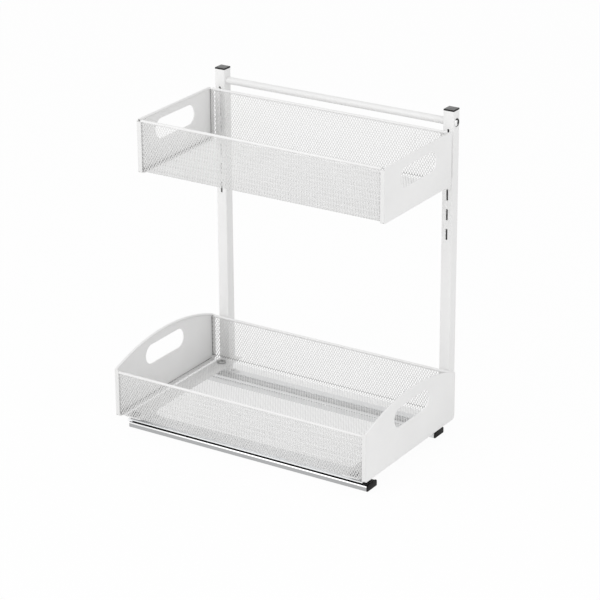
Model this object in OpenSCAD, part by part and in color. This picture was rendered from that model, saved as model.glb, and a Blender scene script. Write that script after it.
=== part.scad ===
// Two-tier pull-out cabinet basket: a lower and an upper mesh basket on two square posts,
// carried by two ball-bearing slides that lie flat on the cabinet floor.
// Millimetres, +Z up, X along the slides, -Y the open front. Origin: bottom centre.

/* [Overall] */
// Height from the cabinet floor to the top of the post caps
total_h = 435; // [425:1:450]
// Depth from the front flanges to the rear faces of the posts
total_d = 241; // [239:1:250]

/* [Lower basket] */
// Width over the lower end panels
lower_w = 380; // [370:1:400]
// Depth of the lower basket
lower_d = 223; // [215:1:223]
// Height of the underside of the lower basket above the cabinet floor
lower_z = 19.5; // [18:0.5:22]
// Height of the lower front and rear walls
lower_wall_h = 65.5; // [60:0.5:75]
// Rise of the arched end panels above the walls
arch_rise = 20.5; // [15:0.5:25]

/* [Upper basket] */
// Distance from the lower end panels' outer faces to the upper ones
upper_inset = 8.5; // [8:0.5:9]
// Depth of the upper basket
upper_d = 163.5; // [140:0.5:165]
// Height of the upper basket's walls
upper_h = 71; // [65:0.5:75]
// Gap between the upper basket and the posts
upper_gap = 8.5; // [8:0.5:12]
// Post slot that carries the upper hooks, counted from the top
hook_slot = 1; // [1:1:4]

/* [Sheet and rims] */
// Thickness of the steel sheet
sheet_t = 1.2; // [1:0.1:1.4]
// Width of the front and rear flanges of an end panel
flange_w = 6; // [5:0.5:7]
// Width of the bottom flange of an end panel
bottom_flange_w = 7.5; // [7:0.5:9]
// Radius of the rear lower corners of the end panels
corner_r = 6; // [4:0.5:8]
// Radius of the front lower corners of the end panels
front_corner_r = 2; // [1.5:0.5:3]
// Diameter of the rolled edge along the top of an end panel
bead_d = 3.2; // [2.6:0.1:3.6]
// Diameter of the rim wires
rim_d = 3.6; // [3:0.1:3.7]
// Drop of the lower basket's front rim below the top of its walls
front_rim_drop = 2.2; // [0:0.1:4]

/* [Hand holes] */
// Length of a hand hole
handle_l = 87; // [70:1:95]
// Height of a hand hole
handle_h = 27; // [22:1:28]
// Height of the lower hand holes above the basket's underside
lower_handle_z = 57.5; // [52:0.5:60]
// Height of the upper hand holes above the basket's underside
upper_handle_z = 45.5; // [40:0.5:48]

/* [Mesh] */
// Thickness of the mesh sheets
mesh_t = 1; // [0.8:0.1:1.2]
// Largest width of a diamond
cell_w = 27; // [27:1:40]
// Largest height of a diamond
cell_h = 38; // [36:1:60]
// Width of a strand
strand_w = 3; // [2:0.5:4]
// Plain border around the diamonds
mesh_border = 2; // [1:0.5:4]

/* [Posts] */
// Outer size of the square tubes
post_size = 15; // [15:0.5:16]
// Wall of the square tubes
post_wall = 1.2; // [1:0.1:1.5]
// Distance from the lower end panels' outer faces to the posts
post_inset = 11; // [11:0.5:12]
// Number of hook slots in each post
slot_count = 6; // [6:1:8]
// Distance between slots
slot_pitch = 26.5; // [25:0.5:28]
// Length of a slot
slot_l = 15; // [15:0.5:16]
// Width of a slot
slot_w = 2.8; // [2.8:0.1:3.4]
// Distance from the top of the posts to the middle of the first slot
slot_drop = 32.7; // [30:0.1:36]
// Diameter of the crossbar
crossbar_d = 9.5; // [9:0.5:10]
// Distance from the top of the posts to the crossbar's axis
crossbar_drop = 17.5; // [16:0.5:19]

/* [Slides] */
// Width of a slide
slide_w = 23; // [23:0.5:24]
// Height of a slide with its top strip
slide_h = 11.8; // [11.8:0.1:12.4]
// Distance from the left end panel's outer face to the slides' open ends
open_end_inset = 9; // [8:0.5:12]
// Distance from the right end panel's outer face to the slides' bumpers
closed_end_inset = 6; // [5:0.5:8]
// Distance from the basket's front to the front slide's axis
front_slide_y = 25; // [22:0.5:30]
// Distance from the basket's rear to the rear slide's axis
rear_slide_y = 19.5; // [19:0.5:24]
// Distance that the rear slide sits further left than the front one
rear_slide_shift = 5.5; // [0:0.5:6]
// Diameter of the slide balls
ball_d = 3.6; // [3.6:0.05:3.7]
// Balls along each side of a slide
balls_per_side = 8; // [4:1:9]
// Length of a ball cage
cage_l = 112; // [110:1:114]
// Diameter of the floor screws' holes in the fixed rails
floor_hole_d = 4.5; // [4:0.1:5]
// Distance between the floor screws' holes along a rail
floor_hole_pitch = 320; // [200:5:320]

/* [Cross plates and screws] */
// Width of a cross plate
plate_w = 25; // [24:0.5:26]
// Distance from the lower basket's front and rear to its floor screws
floor_screw_inset = 11.8; // [11.8:0.1:13]
// Diameter of the floor and crossbar screws' heads
head_d = 11.5; // [10:0.1:11.5]
// Diameter of the screws
screw_d = 4.9; // [4.6:0.1:4.9]

/* [Hidden] */
$fn = 48;
eps = 0.01;
front_y = -total_d / 2;
post_y0 = total_d / 2 - post_size;
post_yc = total_d / 2 - post_size / 2;
post_x0 = lower_w / 2 - post_inset - post_size;
post_xc = post_x0 + post_size / 2;
cap_flange_t = 2;
cap_plug_l = 10;
cap_chamfer = 1;
plug_play = 0.1;
tube_in = post_size - 2 * post_wall;

lower_rear_y = front_y + lower_d;
lower_top_z = lower_z + lower_wall_h;
floor_z = lower_z + sheet_t;
arch_r = (pow(lower_d / 2, 2) + pow(arch_rise, 2)) / (2 * arch_rise);
arch_a = asin(lower_d / 2 / arch_r);

slot_z = [for (i = [0 : slot_count - 1]) total_h - slot_drop - i * slot_pitch];
upper_w = lower_w - 2 * upper_inset;
upper_above_slot = 8.2;
upper_z = slot_z[hook_slot - 1] + upper_above_slot - upper_h;
upper_rear_y = post_y0 - upper_gap;
upper_front_y = upper_rear_y - upper_d;
upper_top_z = upper_z + upper_h;
upper_corner_r = 3;

// slide section, measured from its axis and from the cabinet floor
rail_h = 7.9;
rail_web_t = 1.2;
rail_side_t = 1.4;
rail_foot_r = 1;
rail_corner_r = 2.8;
rail_bend_r = 1.6;
rail_lip_w = 3.5;
rail_lip_t = 1.1;
ball_y = slide_w / 2 - rail_side_t - ball_d / 2 + 0.2;
ball_z = 3.9;
groove_r = ball_d / 2 + 0.05;
inner_w = slide_w - 9.2;
inner_wall_t = 1.4;
inner_low_z = 2.2;
strip_t = 1.2;
strip_lip_h = 1.6;
tab_l = 7;
tab_h = 1.7;
strip_back = 5;
window_y1 = 4.3;
window_l = 325;
shield_h = slide_h - rail_h - 0.3;
cage_t = 0.4;
cage_y = slide_w / 2 - 3.8;
cage_low_z = 1.5;
cage_top_z = 6.6;
cage_hole_r = 1.7;
bumper_t = 1.5;
rail_x0 = -lower_w / 2 + open_end_inset;
rail_x1 = lower_w / 2 - closed_end_inset - bumper_t;
bumper_l = 5.5;
bumper_gap = 0.4;
bumper_r = 6;
bumper_top = slide_h - 3;
bumper_block_w = 6;
bumper_block_top = slide_h - 0.9;
strip_x1 = rail_x1 - bumper_l - bumper_gap;
cage_spare = 5.6;
outer_rail_x0 = rail_x0 + 1.8;
travel = strip_x1 - rail_x0 - cage_l - cage_spare;
cage_x0 = strip_x1 - cage_l - travel / 2;
front_slide_c = front_y + front_slide_y;
rear_slide_c = lower_rear_y - rear_slide_y;
floor_hole_x = (rail_x0 + strip_x1) / 2;

plate_x0 = lower_w / 2 - post_inset - plate_w;
plate_front_y = front_y + 3.5;
plate_flange_y0 = front_slide_c - slide_w / 2;
plate_flange_y1 = rear_slide_c + slide_w / 2 + 3;
foot_l = 11;
foot_w = 11;
foot_y = slide_w / 2 + strip_back - 6.5;
plate_trim = 1.5;
rivet_d = 4;
rivet_head_d = 7;
rivet_head_t = 1.5;
rivet_tail_d = 5.5;
rivet_tail_t = 0.8;
head_t = 2;
floor_screw_l = 6;
floor_screw_x = plate_x0 + plate_w / 2;
floor_screw_y = [front_y + floor_screw_inset, lower_rear_y - floor_screw_inset];
hole_play = 0.2;
foot_plug_l = 12;
foot_head_d = 9;
foot_head_t = 3;
foot_screw_l = 11;
bar_wall = 1;
bar_insert_l = 20;
bar_head_d = head_d - 1.1;
bar_head_t = 1.2;
screw_key = 4;
bar_z = total_h - crossbar_drop;
bore_play = 0.1;

hook_t = 2;
hook_play = 0.2;
hook_neck_h = 7.5;
hook_drop_h = 6;
hook_wall_gap = 0.3;
hook_finger_t = 2.2;
hook_low_slot = 2;
strap_w = 6.5;
hook_web_top = 2.5;

// ---- shared shapes ----

// the children on the right and mirrored on the left
module both_sides() {
    children();
    mirror([1, 0, 0]) children();
}

// a drawing in Y and Z, given its thickness along X from x0
module along_x(x0, t) {
    translate([x0, 0, 0]) rotate([90, 0, 90]) linear_extrude(t) children();
}

// a drawing in X and Z, given its thickness along Y from y0
module along_y(y0, t) {
    translate([0, y0 + t, 0]) rotate([90, 0, 0]) linear_extrude(t) children();
}

// a round bar along X
module bar_x(x0, x1, y, z, d) {
    translate([x0, y, z]) rotate([0, 90, 0]) cylinder(d = d, h = x1 - x0);
}

// a slot with round ends
module slot_shape(l, h) {
    square([l - h, h], center = true);
    for (s = [-1, 1]) translate([s * (l - h) / 2, 0]) circle(d = h);
}

// a rectangle whose corners have their own radii: low left, low right, high right, high left
module corner_rect(w, h, r) {
    difference() {
        square([w, h]);
        corner_cut(0, 0, 1, 1, r[0]);
        corner_cut(w, 0, -1, 1, r[1]);
        corner_cut(w, h, -1, -1, r[2]);
        corner_cut(0, h, 1, -1, r[3]);
    }
}

module corner_cut(x, y, sx, sy, r) {
    if (r > 0)
        translate([x, y]) scale_sign(sx, sy) difference() {
            translate([-eps, -eps]) square(r + eps);
            translate([r, r]) circle(r);
        }
}

module scale_sign(sx, sy) {
    mirror([sx < 0 ? 1 : 0, 0]) mirror([0, sy < 0 ? 1 : 0]) children();
}

// a flat sheet with diamond gaps; w and h are its full size, its corner is at the origin
module diamond_sheet(w, h) {
    cols = ceil((w - 2 * mesh_border) / cell_w);
    rows = ceil((h - 2 * mesh_border) / cell_h);
    half_w = (w - 2 * mesh_border) / cols / 2;
    half_h = (h - 2 * mesh_border) / rows / 2;
    reach = half_w * half_h / norm([half_w, half_h]);
    open = 1 - strand_w / 2 / reach;
    centres = [for (i = [1 : 2 * cols - 1], j = [1 : 2 * rows - 1])
        if ((i + j) % 2 == 0) [mesh_border + i * half_w, mesh_border + j * half_h]];
    outline = [[0, 0], [w, 0], [w, h], [0, h]];
    gaps = [for (c = centres, a = [0 : 90 : 270])
        c + open * [half_w * cos(a), half_h * sin(a)]];
    polygon(concat(outline, gaps),
        concat([[0, 1, 2, 3]],
            [for (k = [1 : len(centres)]) [4 * k, 4 * k + 3, 4 * k + 2, 4 * k + 1]]));
}

// a quarter ring that joins a floor sheet to the wall behind it, drawn in Y and Z
module rear_bend(rear_y, z0, outer_r, t) {
    translate([rear_y - corner_r, z0 + corner_r]) intersection() {
        difference() {
            circle(outer_r);
            circle(outer_r - t);
        }
        translate([0, -outer_r]) square(outer_r);
    }
}

// ---- baskets ----

// right-hand end panel: sheet with a hand hole, inward flanges and a rolled top edge
module end_panel(half_w, y0, d, z0, wall_h, rise, handle_z, top_r) {
    inner_x = half_w - sheet_t;
    along_x(inner_x, sheet_t) difference() {
        translate([y0, z0])
            corner_rect(d, wall_h, [front_corner_r, corner_r, rise > 0 ? 0 : top_r, rise > 0 ? 0 : top_r]);
        hand_hole(y0 + d / 2, z0 + handle_z);
    }
    if (rise > 0) arch(half_w, y0, d, z0 + wall_h, z0 + handle_z);
    else bar_y(half_w - bead_d / 2, y0 + top_r, y0 + d - top_r, z0 + wall_h - bead_d / 2, bead_d);
    flange_top = z0 + wall_h - (rise > 0 ? 0 : top_r);
    translate([half_w - flange_w, y0, z0 + front_corner_r])
        cube([flange_w - eps, sheet_t, flange_top - z0 - front_corner_r]);
    translate([half_w - flange_w, y0 + d - sheet_t, z0 + corner_r])
        cube([flange_w - eps, sheet_t, flange_top - z0 - corner_r]);
    translate([half_w - bottom_flange_w, y0 + sheet_t + mesh_t, z0])
        cube([bottom_flange_w - eps, d - sheet_t - mesh_t - corner_r, sheet_t]);
    along_x(half_w - flange_w, flange_w - eps) rear_bend(y0 + d, z0, corner_r, sheet_t);
}

module bar_y(x, y0, y1, z, d) {
    translate([x, y1, z]) rotate([90, 0, 0]) cylinder(d = d, h = y1 - y0);
}

module hand_hole(y, z) {
    translate([y, z]) slot_shape(handle_l, handle_h);
}

// the arched top of a lower end panel with its rolled edge
module arch(half_w, y0, d, z, hole_z) {
    along_x(half_w - sheet_t, sheet_t) difference() {
        intersection() {
            translate([y0 + d / 2, z + arch_rise - arch_r]) circle(arch_r, $fn = 360);
            translate([y0, z - eps]) square([d, arch_rise + 1]);
        }
        hand_hole(y0 + d / 2, hole_z);
    }
    translate([half_w - bead_d / 2, y0 + d / 2, z + arch_rise - arch_r])
        rotate([90, 0, 90]) rotate([0, 0, 90 - arch_a])
            rotate_extrude(angle = 2 * arch_a, $fn = 360)
                translate([arch_r - bead_d / 2, 0]) circle(d = bead_d, $fn = 32);
}

module lower_end_panel() {
    end_panel(lower_w / 2, front_y, lower_d, lower_z, lower_wall_h, arch_rise, lower_handle_z, 0);
}

module upper_end_panel() {
    end_panel(upper_w / 2, upper_front_y, upper_d, upper_z, upper_h, 0, upper_handle_z, upper_corner_r);
}

module lower_left_panel() { color("whitesmoke") mirror([1, 0, 0]) lower_end_panel(); }
module lower_right_panel() { color("whitesmoke") lower_end_panel(); }
module upper_left_panel() { color("whitesmoke") mirror([1, 0, 0]) upper_end_panel(); }
module upper_right_panel() { color("whitesmoke") upper_end_panel(); }

// an upright mesh wall that starts at y0, between the end panels
module mesh_wall(w, y0, z0, z1) {
    inner_w = w - 2 * sheet_t;
    color("white")
        along_y(y0, mesh_t) translate([-inner_w / 2, z0]) diamond_sheet(inner_w, z1 - z0);
}

module front_mesh(w, front, z0, z1) {
    mesh_wall(w, front + sheet_t, z0 + sheet_t, z1 - rim_d);
}

module rear_mesh(w, rear, z0, z1) {
    mesh_wall(w, rear - sheet_t - mesh_t, z0 + corner_r, z1 - rim_d);
}

// the mesh floor of a basket, with the plain bend that leads up to the rear wall
module floor_mesh(w, front, rear, z0) {
    inner_w = w - 2 * sheet_t;
    flat_y0 = front + sheet_t + mesh_t;
    translate([-inner_w / 2, flat_y0, z0 + sheet_t])
        linear_extrude(mesh_t) diamond_sheet(inner_w, rear - corner_r - flat_y0);
    along_x(-inner_w / 2, inner_w) rear_bend(rear, z0, corner_r - sheet_t, mesh_t);
}

module lower_front_mesh() { front_mesh(lower_w, front_y, lower_z, lower_top_z - front_rim_drop); }
module lower_rear_mesh() { rear_mesh(lower_w, lower_rear_y, lower_z, lower_top_z); }
module upper_front_mesh() { front_mesh(upper_w, upper_front_y, upper_z, upper_top_z); }
module upper_rear_mesh() { rear_mesh(upper_w, upper_rear_y, upper_z, upper_top_z); }

module lower_floor_mesh() {
    color("white") difference() {
        floor_mesh(lower_w, front_y, lower_rear_y, lower_z);
        floor_screw_places() cylinder(d = screw_d + 2 * hole_play, h = 9, center = true);
    }
}

module upper_floor_mesh() {
    color("white") floor_mesh(upper_w, upper_front_y, upper_rear_y, upper_z);
}

// a rim wire between the flanges of two end panels
module rim(w, y, z) {
    half = w / 2 - flange_w;
    color("white") bar_x(-half, half, y, z, rim_d);
}

module lower_front_rim() { rim(lower_w, front_y + rim_d / 2, lower_top_z - front_rim_drop - rim_d / 2); }
module lower_rear_rim() { rim(lower_w, lower_rear_y - rim_d / 2, lower_top_z - rim_d / 2); }
module upper_front_rim() { rim(upper_w, upper_front_y + rim_d / 2, upper_top_z - rim_d / 2); }
module upper_rear_rim() { rim(upper_w, upper_rear_y - rim_d / 2, upper_top_z - rim_d / 2); }

// ---- posts and crossbar ----

module square_tube() {
    translate([post_x0, post_y0, floor_z]) difference() {
        cube([post_size, post_size, total_h - cap_flange_t - floor_z]);
        translate([post_wall, post_wall, -1]) cube([tube_in, tube_in, total_h]);
    }
}

module post() {
    difference() {
        square_tube();
        for (z = slot_z)
            translate([post_xc - slot_w / 2, post_y0 - 1, z - slot_l / 2])
                cube([slot_w, post_wall + 2, slot_l]);
        bar_x(post_x0 - 1, post_x0 + post_size + 1, post_yc, bar_z, screw_d + 2 * hole_play);
    }
}

module left_post() { color("whitesmoke") mirror([1, 0, 0]) post(); }
module right_post() { color("whitesmoke") post(); }

module post_cap() {
    top = cap_flange_t - cap_chamfer;
    plug = tube_in - 2 * plug_play;
    translate([post_xc, post_yc, total_h - cap_flange_t]) {
        translate([0, 0, top / 2]) cube([post_size, post_size, top], center = true);
        translate([0, 0, top - eps]) hull() {
            cube([post_size, post_size, 2 * eps], center = true);
            translate([0, 0, cap_chamfer])
                cube([post_size - 2 * cap_chamfer, post_size - 2 * cap_chamfer, 2 * eps], center = true);
        }
        translate([0, 0, -cap_plug_l / 2]) cube([plug, plug, cap_plug_l], center = true);
    }
}

module left_post_cap() { color("dimgray") mirror([1, 0, 0]) post_cap(); }
module right_post_cap() { color("dimgray") post_cap(); }

// threaded plugs that hold the posts down on the cross plates
module post_foot_plugs() {
    side = tube_in - 2 * plug_play;
    color("dimgray") both_sides() translate([post_xc, post_yc, floor_z]) difference() {
        translate([-side / 2, -side / 2, 0]) cube([side, side, foot_plug_l]);
        translate([0, 0, -1]) cylinder(d = screw_d + bore_play, h = foot_plug_l + 2);
    }
}

module post_foot_screws() {
    color("silver") both_sides() translate([post_xc, post_yc, lower_z]) {
        translate([0, 0, -foot_head_t]) cylinder(d = foot_head_d, h = foot_head_t);
        cylinder(d = screw_d, h = foot_screw_l);
    }
}

module crossbar() {
    color("whitesmoke") difference() {
        bar_x(-post_x0, post_x0, post_yc, bar_z, crossbar_d);
        bar_x(-post_x0 - 1, post_x0 + 1, post_yc, bar_z, crossbar_d - 2 * bar_wall);
    }
}

module crossbar_inserts() {
    color("silver") both_sides() difference() {
        bar_x(post_x0 - bar_insert_l, post_x0, post_yc, bar_z, crossbar_d - 2 * bar_wall);
        bar_x(post_x0 - bar_insert_l - 1, post_x0 + 1, post_yc, bar_z, screw_d + bore_play);
    }
}

module crossbar_screws() {
    face = post_x0 + post_size;
    color("silver") both_sides() difference() {
        union() {
            bar_x(face, face + bar_head_t, post_yc, bar_z, bar_head_d);
            bar_x(post_x0 - bar_insert_l + 3, face + eps, post_yc, bar_z, screw_d);
        }
        translate([face + bar_head_t / 2, post_yc, bar_z])
            rotate([0, 90, 0]) cylinder(d = screw_key, h = bar_head_t, $fn = 6);
    }
}

// ---- cross plates ----

module floor_screw_places() {
    for (y = floor_screw_y) both_sides() translate([floor_screw_x, y, floor_z]) children();
}

module slide_places() {
    for (y = [front_slide_c, rear_slide_c]) translate([0, y, 0]) children();
}

module foot_places() { slide_places() translate([0, foot_y, 0]) children(); }

// plate across both slides with an outer flange and inner feet; its rear tongue carries a post
module cross_plate() {
    flange_l = plate_flange_y1 - plate_flange_y0;
    trimmed_w = plate_w - plate_trim;
    tongue_y0 = lower_rear_y + 1;
    difference() {
        union() {
            translate([plate_x0, plate_front_y, lower_z])
                cube([trimmed_w, total_d / 2 - plate_front_y, sheet_t]);
            translate([plate_x0, tongue_y0, lower_z])
                cube([plate_w, total_d / 2 - tongue_y0, sheet_t]);
            translate([plate_x0 + trimmed_w - sheet_t, plate_flange_y0, slide_h])
                cube([sheet_t, flange_l, floor_z - slide_h - eps]);
            foot_places() translate([0, -foot_w / 2, 0]) {
                translate([plate_x0, 0, slide_h])
                    cube([sheet_t, foot_w, floor_z - slide_h - eps]);
                translate([plate_x0 - foot_l, 0, slide_h])
                    cube([foot_l + eps, foot_w, sheet_t]);
            }
        }
        foot_places() translate([plate_x0 - foot_l / 2, 0, slide_h])
            cylinder(d = rivet_d + 2 * hole_play, h = 9, center = true);
        translate([post_xc, post_yc, lower_z])
            cylinder(d = screw_d + 2 * hole_play, h = 9, center = true);
        floor_screw_places() cylinder(d = screw_d + 2 * hole_play, h = 9, center = true);
    }
}

module left_cross_plate() { color("whitesmoke") mirror([1, 0, 0]) cross_plate(); }
module right_cross_plate() { color("whitesmoke") cross_plate(); }

// rivets that tie the cross plates' feet to the slides' top strips
module rail_rivets() {
    foot_top = slide_h + sheet_t;
    color("silver") foot_places() both_sides() translate([plate_x0 - foot_l / 2, 0, 0]) {
        translate([0, 0, foot_top]) cylinder(d = rivet_head_d, h = rivet_head_t);
        translate([0, 0, slide_h - strip_t - rivet_tail_t]) {
            cylinder(d = rivet_tail_d, h = rivet_tail_t);
            cylinder(d = rivet_d, h = rivet_tail_t + strip_t + sheet_t + eps);
        }
    }
}

// pan-head screws that clamp the lower mesh floor to the cross plates
module floor_screws() {
    color("silver") floor_screw_places() {
        translate([0, 0, mesh_t - floor_screw_l]) cylinder(d = screw_d, h = floor_screw_l + eps);
        translate([0, 0, mesh_t]) difference() {
            cylinder(d = head_d, h = head_t);
            translate([0, 0, head_t / 2]) cylinder(d = screw_key, h = head_t, $fn = 6);
        }
    }
}

// ---- slides, drawn on the axis Y = 0 ----

module ball_circles(r) {
    for (s = [-1, 1]) translate([s * ball_y, ball_z]) circle(r);
}

module outer_rail_profile() {
    cavity = slide_w - 2 * rail_side_t;
    mouth = slide_w - 2 * rail_lip_w;
    difference() {
        translate([-slide_w / 2, 0])
            corner_rect(slide_w, rail_h, [rail_foot_r, rail_foot_r, rail_corner_r, rail_corner_r]);
        translate([-cavity / 2, rail_web_t])
            corner_rect(cavity, rail_h - rail_lip_t - rail_web_t, [0, 0, rail_bend_r, rail_bend_r]);
        translate([-mouth / 2, rail_web_t]) square([mouth, rail_h]);
        ball_circles(groove_r);
    }
}

module outer_rail(shift) {
    difference() {
        along_x(outer_rail_x0, rail_x1 - outer_rail_x0) outer_rail_profile();
        for (s = [-1, 1]) translate([floor_hole_x + shift + s * floor_hole_pitch / 2, 0, -1])
            cylinder(d = floor_hole_d, h = rail_web_t + 2);
    }
}

// plastic end stop: an end plate, a plug in the channel and a block behind the top strip
module rail_bumper() {
    cavity = slide_w - 2 * rail_side_t - 0.4;
    plug_w = slide_w - 2 * rail_lip_w - 0.4;
    plug_z = rail_web_t + 0.2;
    x0 = rail_x1 - bumper_l;
    block_z = rail_h + 0.2;
    along_x(rail_x1, bumper_t) translate([-slide_w / 2, 0.1])
        corner_rect(slide_w, bumper_top - 0.1, [rail_foot_r, rail_foot_r, 3, bumper_r]);
    along_x(x0, bumper_l + eps) {
        translate([-slide_w / 2, block_z])
            corner_rect(bumper_block_w, bumper_block_top - block_z, [0, 0, 2, 2.7]);
        translate([-plug_w / 2, plug_z]) square([plug_w, block_z - plug_z + eps]);
        translate([-cavity / 2, plug_z])
            corner_rect(cavity, rail_h - rail_lip_t - plug_z - 0.2, [0, 0, rail_bend_r, rail_bend_r]);
    }
}

// moving channel between the ball rows
module inner_rail() {
    top = slide_h - strip_t;
    along_x(rail_x0, strip_x1 - rail_x0) difference() {
        translate([-inner_w / 2, inner_low_z]) square([inner_w, top - inner_low_z]);
        translate([-inner_w / 2 + inner_wall_t, 0])
            square([inner_w - 2 * inner_wall_t, top - sheet_t]);
        ball_circles(groove_r);
    }
}

// strip on top of the moving channel, with turned-down lips and a deeper tab at its open end
module top_strip(shift, front_lip_h) {
    difference() {
        union() {
            along_x(rail_x0, strip_x1 - rail_x0) strip_profile(front_lip_h, strip_lip_h);
            along_x(rail_x0, tab_l)
                strip_profile(strip_lip_h + tab_h, strip_lip_h + tab_h);
        }
        translate([shift, 0, 0]) both_sides() translate([plate_x0 - foot_l / 2, foot_y, slide_h])
            cylinder(d = rivet_d + bore_play, h = 9, center = true);
    }
}

// long window along the front half of a top strip
module strip_window(shift) {
    translate([shift - window_l / 2, -slide_w / 2 + strip_t, slide_h - strip_t - 1])
        cube([window_l, slide_w / 2 - strip_t + window_y1, strip_t + 2]);
}

module strip_profile(front_lip_h, back_lip_h) {
    translate([-slide_w / 2, slide_h - strip_t]) square([slide_w + strip_back, strip_t]);
    translate([-slide_w / 2, slide_h - front_lip_h]) square([strip_t, front_lip_h]);
    translate([slide_w / 2 + strip_back - strip_t, slide_h - back_lip_h])
        square([strip_t, back_lip_h]);
}

function ball_x(i) = cage_x0 + (i + 0.5) * cage_l / balls_per_side;

module ball_cage() {
    difference() {
        along_x(cage_x0, cage_l) difference() {
            translate([-cage_y, cage_low_z]) square([2 * cage_y, cage_top_z - cage_low_z]);
            translate([-cage_y + cage_t, cage_low_z + cage_t])
                square([2 * (cage_y - cage_t), cage_top_z]);
        }
        for (i = [0 : balls_per_side - 1])
            translate([ball_x(i), 0, ball_z]) rotate([90, 0, 0])
                cylinder(r = cage_hole_r, h = slide_w, center = true);
    }
}

module ball_rows() {
    for (i = [0 : balls_per_side - 1], s = [-1, 1])
        translate([ball_x(i), s * ball_y, ball_z]) sphere(d = ball_d);
}

module at_front() { translate([0, front_slide_c, 0]) children(); }
module at_rear() { translate([-rear_slide_shift, rear_slide_c, 0]) children(); }

module front_outer_rail() { color("silver") at_front() outer_rail(0); }
module rear_outer_rail() { color("silver") at_rear() outer_rail(rear_slide_shift); }
module front_rail_bumper() { color("dimgray") at_front() rail_bumper(); }
module rear_rail_bumper() { color("dimgray") at_rear() rail_bumper(); }
module front_ball_cage() { color("silver") at_front() ball_cage(); }
module rear_ball_cage() { color("silver") at_rear() ball_cage(); }
module front_balls() { color("silver") at_front() ball_rows(); }
module rear_balls() { color("silver") at_rear() ball_rows(); }
module front_inner_rail() { color("silver") at_front() inner_rail(); }
module rear_inner_rail() { color("silver") at_rear() inner_rail(); }
module front_top_strip() { color("silver") at_front() top_strip(0, strip_lip_h); }
module rear_top_strip() {
    color("silver") at_rear() difference() {
        top_strip(rear_slide_shift, shield_h);
        strip_window(rear_slide_shift);
    }
}

// ---- hook brackets of the upper basket ----

// one hook: a neck through the slot and a finger that hangs behind the slot's lower edge
module hook(slot) {
    neck_z = slot_z[slot] - slot_l / 2 + hook_play;
    finger_y = post_y0 + post_wall + hook_wall_gap;
    web_y = post_y0 - hook_play;
    translate([web_y - eps, neck_z]) square([finger_y - web_y + 2 * eps, hook_neck_h]);
    translate([finger_y, neck_z - hook_drop_h])
        square([hook_finger_t, hook_neck_h + hook_drop_h]);
}

module hook_bracket() {
    top_slot = hook_slot - 1;
    low_slot = top_slot + hook_low_slot;
    web_z0 = slot_z[low_slot] - slot_l / 2 + hook_play;
    web_z1 = upper_top_z - rim_d - hook_web_top;
    strap_z0 = upper_z + sheet_t;
    along_x(post_xc - hook_t / 2, hook_t) {
        translate([upper_rear_y - eps, web_z0])
            square([post_y0 - hook_play - upper_rear_y + eps, web_z1 - web_z0]);
        hook(top_slot);
        hook(low_slot);
    }
    translate([post_xc + hook_t / 2 - strap_w, upper_rear_y - sheet_t, strap_z0])
        cube([strap_w, sheet_t, upper_top_z - rim_d - strap_z0]);
}

module left_hook_bracket() { color("whitesmoke") mirror([1, 0, 0]) hook_bracket(); }
module right_hook_bracket() { color("whitesmoke") hook_bracket(); }

// ---- nodes ----

front_outer_rail();
rear_outer_rail();
front_rail_bumper();
rear_rail_bumper();
front_ball_cage();
rear_ball_cage();
front_balls();
rear_balls();
front_inner_rail();
rear_inner_rail();
front_top_strip();
rear_top_strip();
left_cross_plate();
right_cross_plate();
rail_rivets();
floor_screws();
lower_left_panel();
lower_right_panel();
lower_front_mesh();
lower_rear_mesh();
lower_floor_mesh();
lower_front_rim();
lower_rear_rim();
left_post();
right_post();
left_post_cap();
right_post_cap();
post_foot_plugs();
post_foot_screws();
crossbar();
crossbar_inserts();
crossbar_screws();
upper_left_panel();
upper_right_panel();
upper_front_mesh();
upper_rear_mesh();
upper_floor_mesh();
upper_front_rim();
upper_rear_rim();
left_hook_bracket();
right_hook_bracket();
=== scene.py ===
import math

import bmesh
import bpy
from mathutils import Matrix, Vector


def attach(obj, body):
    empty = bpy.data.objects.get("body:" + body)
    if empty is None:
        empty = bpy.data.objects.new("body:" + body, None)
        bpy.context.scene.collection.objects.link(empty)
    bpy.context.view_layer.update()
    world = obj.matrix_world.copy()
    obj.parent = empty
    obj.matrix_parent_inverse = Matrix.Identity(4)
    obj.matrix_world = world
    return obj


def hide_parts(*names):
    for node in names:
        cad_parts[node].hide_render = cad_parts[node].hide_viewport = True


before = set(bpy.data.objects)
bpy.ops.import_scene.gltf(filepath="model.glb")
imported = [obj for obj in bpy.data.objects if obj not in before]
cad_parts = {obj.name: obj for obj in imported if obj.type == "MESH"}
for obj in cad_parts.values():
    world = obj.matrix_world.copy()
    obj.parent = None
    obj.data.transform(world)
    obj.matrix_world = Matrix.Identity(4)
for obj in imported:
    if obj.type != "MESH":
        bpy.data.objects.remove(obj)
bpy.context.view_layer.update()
mm = 0.001
print("frame loaded:", len(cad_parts), "nodes")


class Link:
    # one output socket; arithmetic on it adds the matching Math node
    def __init__(self, surface, socket):
        self.surface = surface
        self.socket = socket

    def math(self, operation, first, second):
        return self.surface.node("ShaderNodeMath", {"operation": operation}, {0: first, 1: second})

    def __add__(self, other):
        return self.math("ADD", self, other)

    def __radd__(self, other):
        return self.math("ADD", other, self)

    def __sub__(self, other):
        return self.math("SUBTRACT", self, other)

    def __rsub__(self, other):
        return self.math("SUBTRACT", other, self)

    def __mul__(self, other):
        return self.math("MULTIPLY", self, other)

    def __pow__(self, other):
        return self.math("POWER", self, other)


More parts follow.
